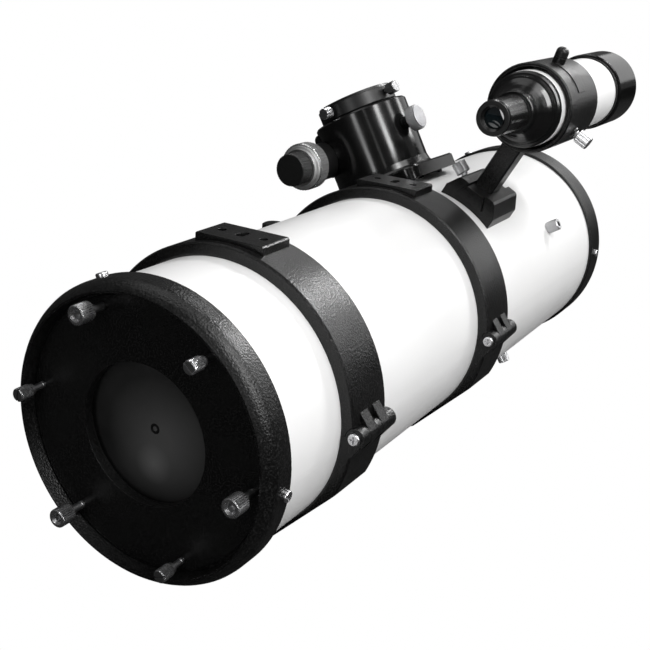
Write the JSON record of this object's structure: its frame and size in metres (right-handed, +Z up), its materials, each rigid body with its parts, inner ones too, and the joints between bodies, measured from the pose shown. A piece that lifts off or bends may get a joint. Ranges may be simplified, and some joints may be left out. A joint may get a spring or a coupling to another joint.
{
  "type": "newtonian telescope tube with cradle rings",
  "caption": "White reflector telescope tube in two black hinged cradle rings, with a two-speed focuser and a straight-through finder",
  "frame": {"origin": "centre of the round vent on the outer face of the rear plate", "axes": "+X along the tube towards the sky, +Y left seen from behind, +Z up through the ring pads"},
  "size_m": [0.616, 0.257, 0.3217],
  "materials": {
    "white_gloss": "smooth gloss white enamel",
    "black_hammer": "black hammered powder coat with a fine pebble",
    "black_anodised": "glossy black anodised, fine turning marks",
    "black_satin": "matt black anodised, knurled",
    "satin_silver": "satin silver with bright turned edges",
    "chrome": "bright plated, knurled",
    "steel": "drawn bright steel",
    "brass": "drawn brass",
    "felt": "short black felt",
    "rubber": "soft black rubber",
    "black_plastic": "moulded black plastic",
    "mirror": "aluminised face, ground grey back",
    "lens": "coated lens"
  },
  "bodies": {
    "tube": {"tube": "white_gloss", "rear_cell": "black_hammer", "rear_cell_screws": "chrome", "front_ring": "black_hammer", "front_ring_screws": "chrome", "spider": "black_satin", "vane_nuts": "chrome", "focuser_body": "black_anodised", "focuser_screws": "black_satin", "shaft_block": "black_anodised", "guide_rollers": "steel", "finder_shoe": "black_hammer", "secondary_screws": "steel"},
    "rear_cradle": {"rear_ring_lower": "black_hammer", "rear_felt_lower": "felt", "rear_hinge_pin": "chrome"},
    "front_cradle": {"front_ring_lower": "black_hammer", "front_felt_lower": "felt", "front_hinge_pin": "chrome"},
    "rear_hoop": {"rear_ring_upper": "black_hammer", "rear_felt_upper": "felt"},
    "front_hoop": {"front_ring_upper": "black_hammer", "front_felt_upper": "felt"},
    "rear_clamp": {"rear_clamp_knob": "black_plastic"},
    "front_clamp": {"front_clamp_knob": "black_plastic"},
    "drawtube": {"drawtube": "black_anodised", "drawtube_collar": "black_anodised", "compression_ring": "brass"},
    "collar_screw_a": {"collar_screw_a": "chrome"},
    "collar_screw_b": {"collar_screw_b": "chrome"},
    "coarse_drive": {"pinion_shaft": "steel", "coarse_knobs": "satin_silver"},
    "fine_drive": {"fine_knob": "black_satin"},
    "draw_lock": {"draw_lock": "satin_silver"},
    "springs": {"collimation_springs": "steel"},
    "mirror_cell": {"mirror_tray": "black_satin", "primary_mirror": "mirror", "mirror_clips": "black_plastic"},
    "collimation_a": {"collimation_knob_a": "chrome"},
    "collimation_b": {"collimation_knob_b": "chrome"},
    "collimation_c": {"collimation_knob_c": "chrome"},
    "lock_a": {"lock_screw_a": "chrome"},
    "lock_b": {"lock_screw_b": "chrome"},
    "lock_c": {"lock_screw_c": "chrome"},
    "secondary_stalk": {"secondary_bolt": "steel"},
    "secondary": {"secondary_holder": "black_satin", "secondary_mirror": "mirror"},
    "finder_bracket": {"finder_bracket": "black_hammer"},
    "shoe_screw": {"shoe_screw": "chrome"},
    "finder_pivot": {"finder_o_ring": "rubber"},
    "finder": {"finder_tube": "white_gloss", "finder_eyepiece": "black_anodised", "finder_eye_lens": "lens"},
    "finder_front": {"finder_objective": "black_anodised", "finder_lens": "lens"},
    "aim_a": {"finder_screw_a": "chrome"},
    "aim_b": {"finder_screw_b": "chrome"},
    "aim_plunger": {"finder_plunger": "black_satin"}
  },
  "joints": [
    {"name": "rear_ring_turn", "type": "hinge", "parent": "tube", "child": "rear_cradle", "pos_m": [0.096, 0, 0], "axis": [1, 0, 0], "continuous": true},
    {"name": "front_ring_turn", "type": "hinge", "parent": "tube", "child": "front_cradle", "pos_m": [0.308, 0, 0], "axis": [1, 0, 0], "range_deg": [-180, 0]},
    {"name": "rear_ring_open", "type": "hinge", "parent": "rear_cradle", "child": "rear_hoop", "pos_m": [0.096, -0.1032, 0], "axis": [1, 0, 0], "range_deg": [0, 100]},
    {"name": "front_ring_open", "type": "hinge", "parent": "front_cradle", "child": "front_hoop", "pos_m": [0.308, -0.1032, 0], "axis": [1, 0, 0], "range_deg": [0, 8]},
    {"name": "rear_clamp_turn", "type": "hinge", "parent": "rear_hoop", "child": "rear_clamp", "pos_m": [0.096, 0.112, 0], "axis": [0, 0, 1], "continuous": true},
    {"name": "front_clamp_turn", "type": "hinge", "parent": "front_hoop", "child": "front_clamp", "pos_m": [0.308, 0.112, 0], "axis": [0, 0, 1], "continuous": true},
    {"name": "focus_turn", "type": "hinge", "parent": "tube", "child": "coarse_drive", "pos_m": [0.389, 0.09307, 0.09915], "axis": [1, 0, 0], "range_deg": [-725, 0]},
    {"name": "drawtube_slide", "type": "slide", "parent": "tube", "child": "drawtube", "axis": [0, 0.5, 0.866], "range_m": [0, 0.038]},
    {"name": "fine_turn", "type": "hinge", "parent": "tube", "child": "fine_drive", "pos_m": [0.389, 0.09307, 0.09915], "axis": [1, 0, 0], "range_deg": [-7250, 0]},
    {"name": "draw_lock_turn", "type": "hinge", "parent": "tube", "child": "draw_lock", "pos_m": [0.383, 0.02297, 0.14378], "axis": [0, -0.866, 0.5], "continuous": true},
    {"name": "collar_screw_a_turn", "type": "hinge", "parent": "drawtube", "child": "collar_screw_a", "pos_m": [0.35158, 0.08972, 0.14219], "axis": [-0.9848, 0.1504, -0.0868], "continuous": true},
    {"name": "collar_screw_b_turn", "type": "hinge", "parent": "drawtube", "child": "collar_screw_b", "pos_m": [0.38371, 0.05141, 0.16431], "axis": [-0.1392, -0.8576, 0.4951], "continuous": true},
    {"name": "mirror_tip", "type": "hinge", "parent": "tube", "child": "springs", "pos_m": [0.02, 0, 0], "axis": [0, 1, 0], "range_deg": [-1, 1]},
    {"name": "mirror_tilt", "type": "hinge", "parent": "springs", "child": "mirror_cell", "pos_m": [0.02, 0, 0], "axis": [0, 0, 1], "range_deg": [-1, 1]},
    {"name": "collimation_a_turn", "type": "hinge", "parent": "tube", "child": "collimation_a", "pos_m": [-0.017, 0.031, 0.07483], "axis": [-1, 0, 0], "range_deg": [-520, 520]},
    {"name": "collimation_b_turn", "type": "hinge", "parent": "tube", "child": "collimation_b", "pos_m": [-0.017, -0.08031, -0.01057], "axis": [-1, 0, 0], "range_deg": [-520, 520]},
    {"name": "collimation_c_turn", "type": "hinge", "parent": "tube", "child": "collimation_c", "pos_m": [-0.017, 0.04931, -0.06426], "axis": [-1, 0, 0], "range_deg": [-520, 520]},
    {"name": "lock_a_turn", "type": "hinge", "parent": "tube", "child": "lock_a", "pos_m": [-0.017, -0.04931, 0.06426], "axis": [-1, 0, 0], "continuous": true},
    {"name": "lock_b_turn", "type": "hinge", "parent": "tube", "child": "lock_b", "pos_m": [-0.017, -0.031, -0.07483], "axis": [-1, 0, 0], "continuous": true},
    {"name": "lock_c_turn", "type": "hinge", "parent": "tube", "child": "lock_c", "pos_m": [-0.017, 0.08031, 0.01057], "axis": [-1, 0, 0], "continuous": true},
    {"name": "secondary_turn", "type": "hinge", "parent": "tube", "child": "secondary_stalk", "pos_m": [0.469, 0, 0], "axis": [1, 0, 0], "range_deg": [-20, 20]},
    {"name": "secondary_tilt", "type": "hinge", "parent": "secondary_stalk", "child": "secondary", "pos_m": [0.438, 0, 0], "axis": [0, 0.866, -0.5], "range_deg": [-1.5, 1.5]},
    {"name": "bracket_slide", "type": "slide", "parent": "tube", "child": "finder_bracket", "axis": [1, 0, 0], "range_m": [0, 0.06]},
    {"name": "shoe_screw_turn", "type": "hinge", "parent": "tube", "child": "shoe_screw", "pos_m": [0.374, -0.02767, 0.11023], "axis": [0, 0.6307, 0.776], "continuous": true},
    {"name": "finder_tip", "type": "hinge", "parent": "finder_bracket", "child": "finder_pivot", "pos_m": [0.405, -0.08912, 0.17119], "axis": [0, 0.887, 0.4617], "range_deg": [-1.2, 1.2]},
    {"name": "finder_tilt", "type": "hinge", "parent": "finder_pivot", "child": "finder", "pos_m": [0.405, -0.08912, 0.17119], "axis": [0, -0.4617, 0.887], "range_deg": [-1.2, 1.2]},
    {"name": "finder_focus", "type": "hinge", "parent": "finder", "child": "finder_front", "pos_m": [0.5, -0.08912, 0.17119], "axis": [1, 0, 0], "continuous": true},
    {"name": "finder_screw_a_turn", "type": "hinge", "parent": "finder_bracket", "child": "aim_a", "pos_m": [0.372, -0.12741, 0.14953], "axis": [0, -0.8704, -0.4924], "continuous": true},
    {"name": "finder_screw_b_turn", "type": "hinge", "parent": "finder_bracket", "child": "aim_b", "pos_m": [0.372, -0.04704, 0.15833], "axis": [0, 0.9563, -0.2924], "continuous": true},
    {"name": "plunger_slide", "type": "slide", "parent": "finder_bracket", "child": "aim_plunger", "axis": [0, -0.2756, 0.9613], "range_m": [0, 0.004], "stiffness_N_per_m": 400, "springref_m": -0.002}
  ],
  "couplings": [
    {"joint": "drawtube_slide", "follows": "focus_turn", "m_per_rad": -0.003},
    {"joint": "fine_turn", "follows": "focus_turn", "ratio": 10},
    {"joint": "collimation_a_turn", "follows": "mirror_tip", "ratio": 470.2},
    {"joint": "collimation_c_turn", "follows": "mirror_tip", "ratio": -470.2},
    {"joint": "collimation_b_turn", "follows": "mirror_tilt", "ratio": 504.58}
  ]
}
